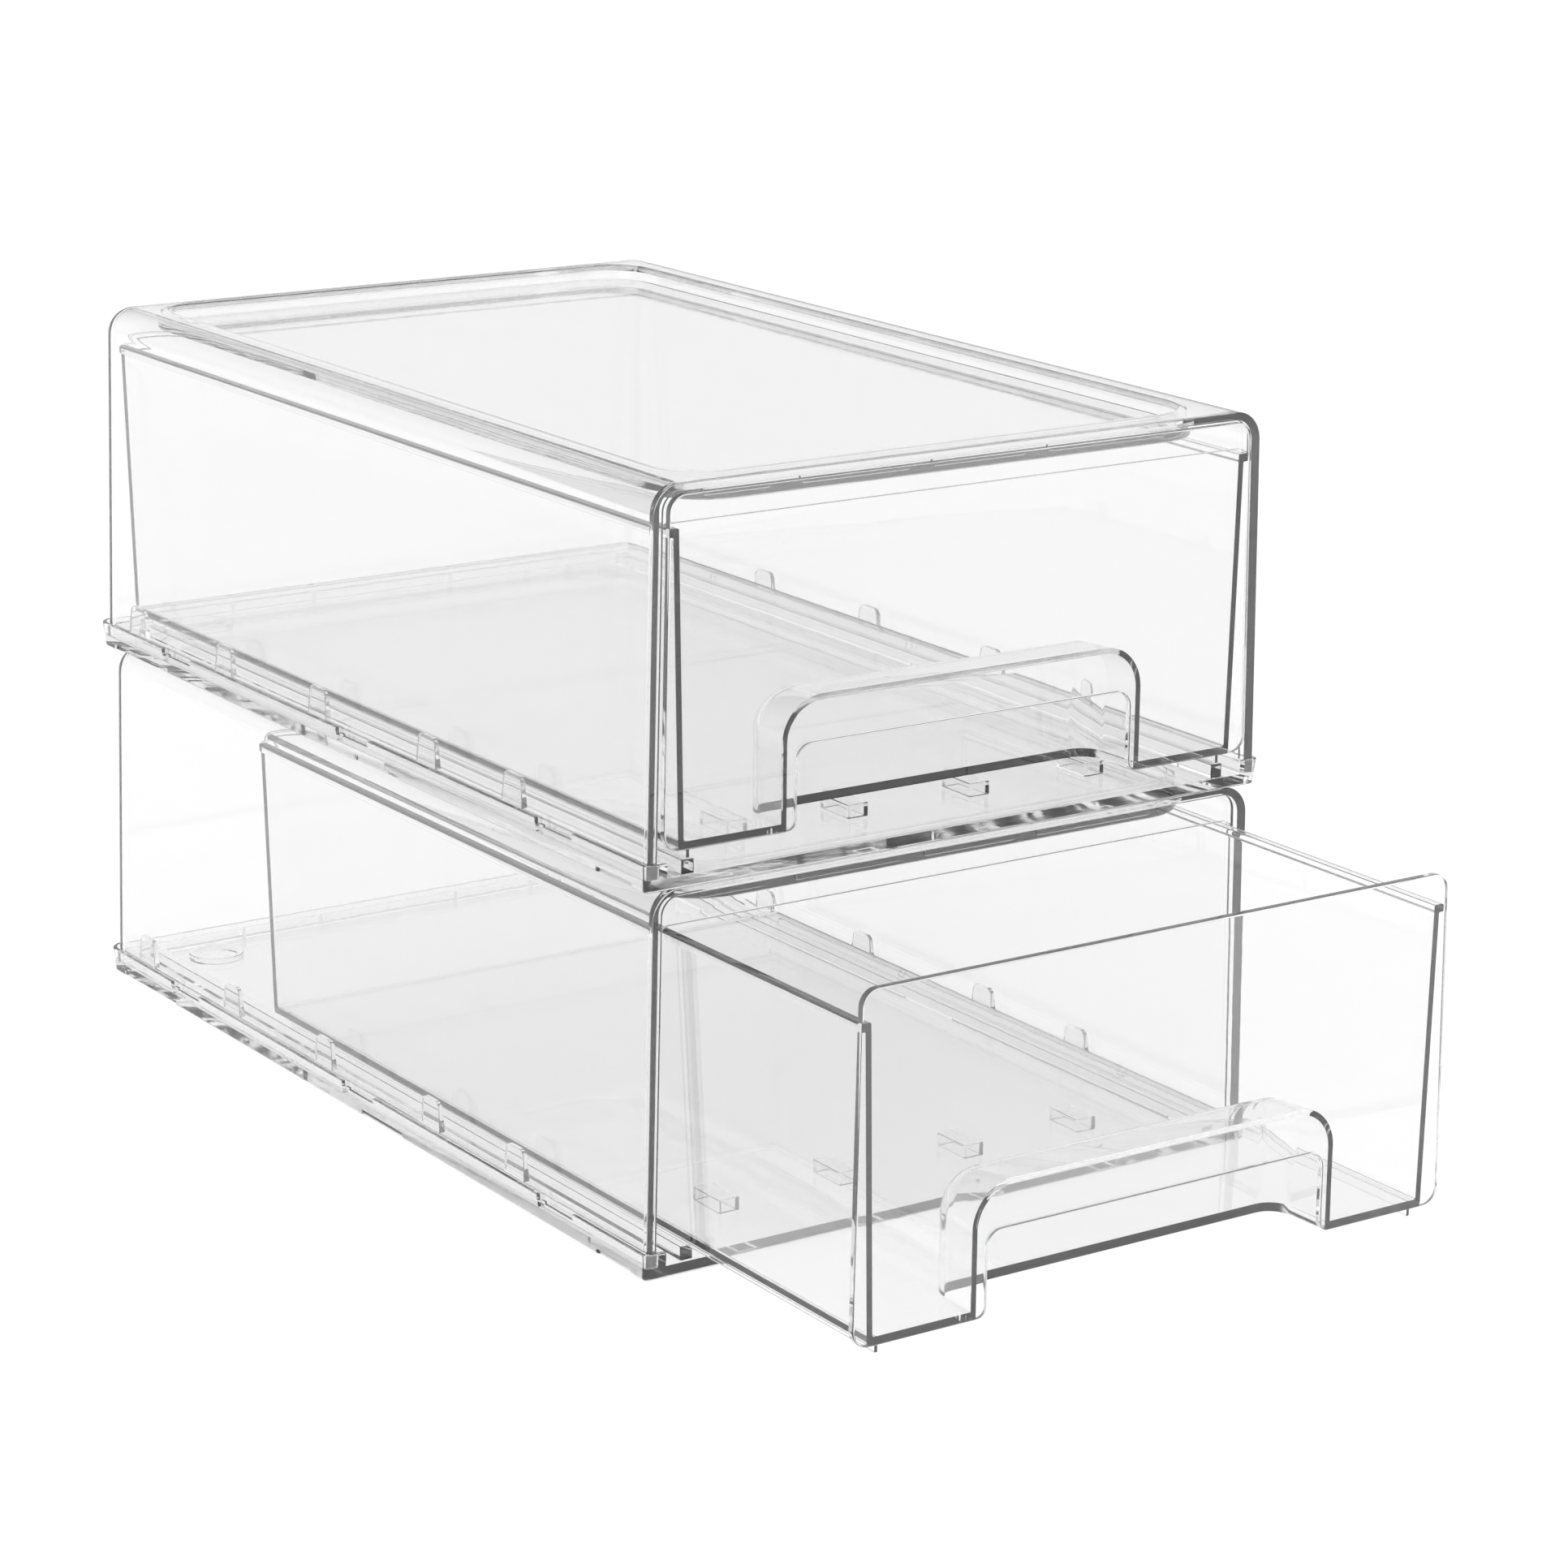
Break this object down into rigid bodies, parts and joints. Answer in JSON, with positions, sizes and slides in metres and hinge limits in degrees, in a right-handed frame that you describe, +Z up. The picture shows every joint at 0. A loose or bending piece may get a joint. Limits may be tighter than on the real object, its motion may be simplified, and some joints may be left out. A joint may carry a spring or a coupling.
{
  "type": "stackable fridge bin",
  "caption": "Clear stackable fridge bin: open-fronted casings on clip-on base trays, each with a sliding drawer that has a pocket handle in its front.",
  "frame": {"origin": "centre of the lower base tray's underside, on the surface the stack stands on", "axes": "+X across to the right as seen from the front, +Y from the front to the back, +Z up"},
  "size_m": [0.21, 0.4223, 0.22],
  "materials": {
    "clear_casing": "clear polished moulding",
    "clear_drawer": "clear polished moulding",
    "clear_base": "clear polished moulding"
  },
  "bodies": {
    "lower_unit": {"lower_base_tray": "clear_base", "lower_casing": "clear_casing"},
    "lower_drawer": {"lower_drawer": "clear_drawer"},
    "upper_unit": {"upper_base_tray": "clear_base", "upper_casing": "clear_casing"},
    "upper_drawer": {"upper_drawer": "clear_drawer"}
  },
  "joints": [
    {"name": "lower_drawer_slide", "type": "slide", "parent": "lower_unit", "child": "lower_drawer", "axis": [0, -1, 0], "range_m": [-0.09, 0.13]},
    {"name": "upper_unit_lift", "type": "slide", "parent": "lower_unit", "child": "upper_unit", "axis": [0, 0, 1], "range_m": [0, 0.06]},
    {"name": "upper_drawer_slide", "type": "slide", "parent": "upper_unit", "child": "upper_drawer", "axis": [0, -1, 0], "range_m": [0, 0.22]}
  ]
}
